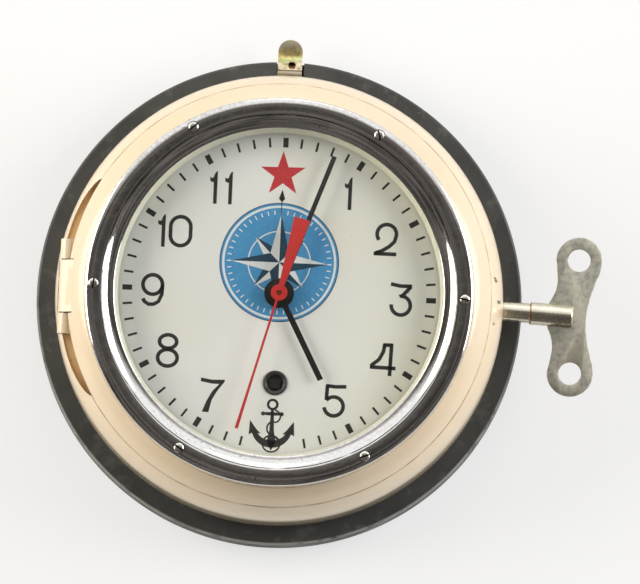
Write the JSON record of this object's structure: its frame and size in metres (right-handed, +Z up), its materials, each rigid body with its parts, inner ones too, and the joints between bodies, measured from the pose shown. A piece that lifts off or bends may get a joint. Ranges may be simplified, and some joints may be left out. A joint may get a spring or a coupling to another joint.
{
  "type": "ships clock",
  "caption": "Round wall-mounted ships clock with a hinged glazed cover, chromed bezel, winding movement, three hands and a removable side key.",
  "frame": {"origin": "centre of the base plate's wall face", "axes": "+Z up towards 12 o'clock, -Y out of the dial towards the viewer, +X towards the key"},
  "size_m": [0.2147, 0.0734, 0.1941],
  "materials": {
    "cream_enamel": "gloss",
    "black_moulding": "satin",
    "chrome": "polished",
    "steel": "satin",
    "passivated_steel": "yellow passivated",
    "nickel": "nickel plated",
    "brass": "turned",
    "rubber": "matt",
    "dial_paint": "matt",
    "black_paint": "satin",
    "red_paint": "satin",
    "clear_glass": "clear"
  },
  "bodies": {
    "case": {"base_plate": "black_moulding", "housing_shell": "cream_enamel", "hinge_pin": "steel", "lock_bush": "brass", "hanger_tab": "passivated_steel", "hanger_screw_1": "steel", "hanger_screw_2": "steel", "dial": "dial_paint", "dial_pillar_1": "brass", "dial_pillar_2": "brass", "dial_pillar_3": "brass", "winding_cup": "black_paint", "back_plate": "brass", "front_plate": "brass", "pillar_1": "brass", "pillar_2": "brass", "pillar_3": "brass", "pillar_4": "brass", "movement_screw_1": "steel", "movement_screw_2": "steel", "movement_screw_3": "steel", "click_spring": "steel", "hairspring": "steel", "balance_cock": "brass"},
    "cover": {"cover_shell": "cream_enamel", "cover_gasket": "rubber", "reflector_ring": "cream_enamel", "glass_gasket": "rubber", "glass": "clear_glass", "bezel": "chrome", "bezel_screw_1": "steel", "bezel_screw_2": "steel", "bezel_screw_3": "steel", "bezel_screw_4": "steel", "bezel_screw_5": "steel", "bezel_screw_6": "steel", "cover_catch": "steel"},
    "lock": {"lock_arbor": "steel", "lock_cam": "steel"},
    "key": {"key_shaft": "nickel", "key_wing": "steel"},
    "seconds": {"second_hand": "red_paint", "fourth_wheel": "brass"},
    "minutes": {"minute_hand": "black_paint", "centre_wheel": "brass", "cannon_pinion": "steel"},
    "hours": {"hour_hand": "black_paint", "hour_wheel": "brass"},
    "motion_wheel": {"minute_wheel": "brass"},
    "third": {"third_wheel": "brass"},
    "escape": {"escape_wheel": "steel"},
    "intermediate": {"intermediate_wheel": "brass"},
    "barrel": {"barrel_drum": "brass", "mainspring": "steel"},
    "winding": {"winding_arbor": "steel", "ratchet_wheel": "steel"},
    "click": {"click": "steel"},
    "pallets": {"pallet_fork": "steel"},
    "balance": {"balance_wheel": "brass"},
    "regulator": {"regulator_lever": "steel"}
  },
  "joints": [
    {"name": "cover_hinge", "type": "hinge", "parent": "case", "child": "cover", "pos_m": [-0.0808, -0.05178, 0], "axis": [0, 0, -1], "range_deg": [0, 150]},
    {"name": "lock_turn", "type": "hinge", "parent": "case", "child": "lock", "pos_m": [0, -0.031, 0], "axis": [-1, 0, 0], "range_deg": [0, 90]},
    {"name": "key_pull", "type": "slide", "parent": "lock", "child": "key", "axis": [0.9991, 0, -0.0419], "range_m": [0, 0.03]},
    {"name": "seconds_turn", "type": "hinge", "parent": "case", "child": "seconds", "pos_m": [0, -0.06, 0], "axis": [0, 1, 0], "continuous": true},
    {"name": "third_turn", "type": "hinge", "parent": "case", "child": "third", "pos_m": [0.009, -0.035, 0.01559], "axis": [0, 1, 0], "continuous": true},
    {"name": "minutes_turn", "type": "hinge", "parent": "case", "child": "minutes", "pos_m": [0, -0.06, 0], "axis": [0, 1, 0], "continuous": true},
    {"name": "intermediate_turn", "type": "hinge", "parent": "case", "child": "intermediate", "pos_m": [0.01087, -0.035, -0.01583], "axis": [0, 1, 0], "continuous": true},
    {"name": "barrel_turn", "type": "hinge", "parent": "case", "child": "barrel", "pos_m": [0, -0.03, -0.0338], "axis": [0, 1, 0], "continuous": true},
    {"name": "motion_wheel_turn", "type": "hinge", "parent": "case", "child": "motion_wheel", "pos_m": [0.0144, -0.05, 0], "axis": [0, 1, 0], "continuous": true},
    {"name": "hours_turn", "type": "hinge", "parent": "case", "child": "hours", "pos_m": [0, -0.06, 0], "axis": [0, 1, 0], "continuous": true},
    {"name": "escape_turn", "type": "hinge", "parent": "case", "child": "escape", "pos_m": [-0.01167, -0.031, 0.0139], "axis": [0, 1, 0], "continuous": true},
    {"name": "winding_turn", "type": "hinge", "parent": "case", "child": "winding", "pos_m": [0, -0.05, -0.0338], "axis": [0, 1, 0], "continuous": true},
    {"name": "click_lift", "type": "hinge", "parent": "case", "child": "click", "pos_m": [0.0115, -0.047, -0.0243], "axis": [0, -1, 0], "range_deg": [0, 8], "stiffness_Nm_per_rad": 0.001},
    {"name": "pallet_rock", "type": "hinge", "parent": "case", "child": "pallets", "pos_m": [-0.01817, -0.031, 0.02041], "axis": [0, 1, 0], "range_deg": [-4, 4]},
    {"name": "balance_swing", "type": "hinge", "parent": "case", "child": "balance", "pos_m": [-0.02772, -0.036, 0.02996], "axis": [0, 1, 0], "range_deg": [-220, 220], "stiffness_Nm_per_rad": 0.000012},
    {"name": "regulator_set", "type": "hinge", "parent": "case", "child": "regulator", "pos_m": [-0.02772, -0.048, 0.02996], "axis": [0, 1, 0], "range_deg": [-20, 20]}
  ],
  "couplings": [
    {"joint": "third_turn", "follows": "seconds_turn", "ratio": -0.13333},
    {"joint": "minutes_turn", "follows": "seconds_turn", "ratio": 0.016667},
    {"joint": "intermediate_turn", "follows": "seconds_turn", "ratio": -0.0030864},
    {"joint": "barrel_turn", "follows": "seconds_turn", "ratio": 0.0005144},
    {"joint": "motion_wheel_turn", "follows": "seconds_turn", "ratio": -0.0055556},
    {"joint": "hours_turn", "follows": "seconds_turn", "ratio": 0.0013889},
    {"joint": "escape_turn", "follows": "seconds_turn", "ratio": -10}
  ]
}
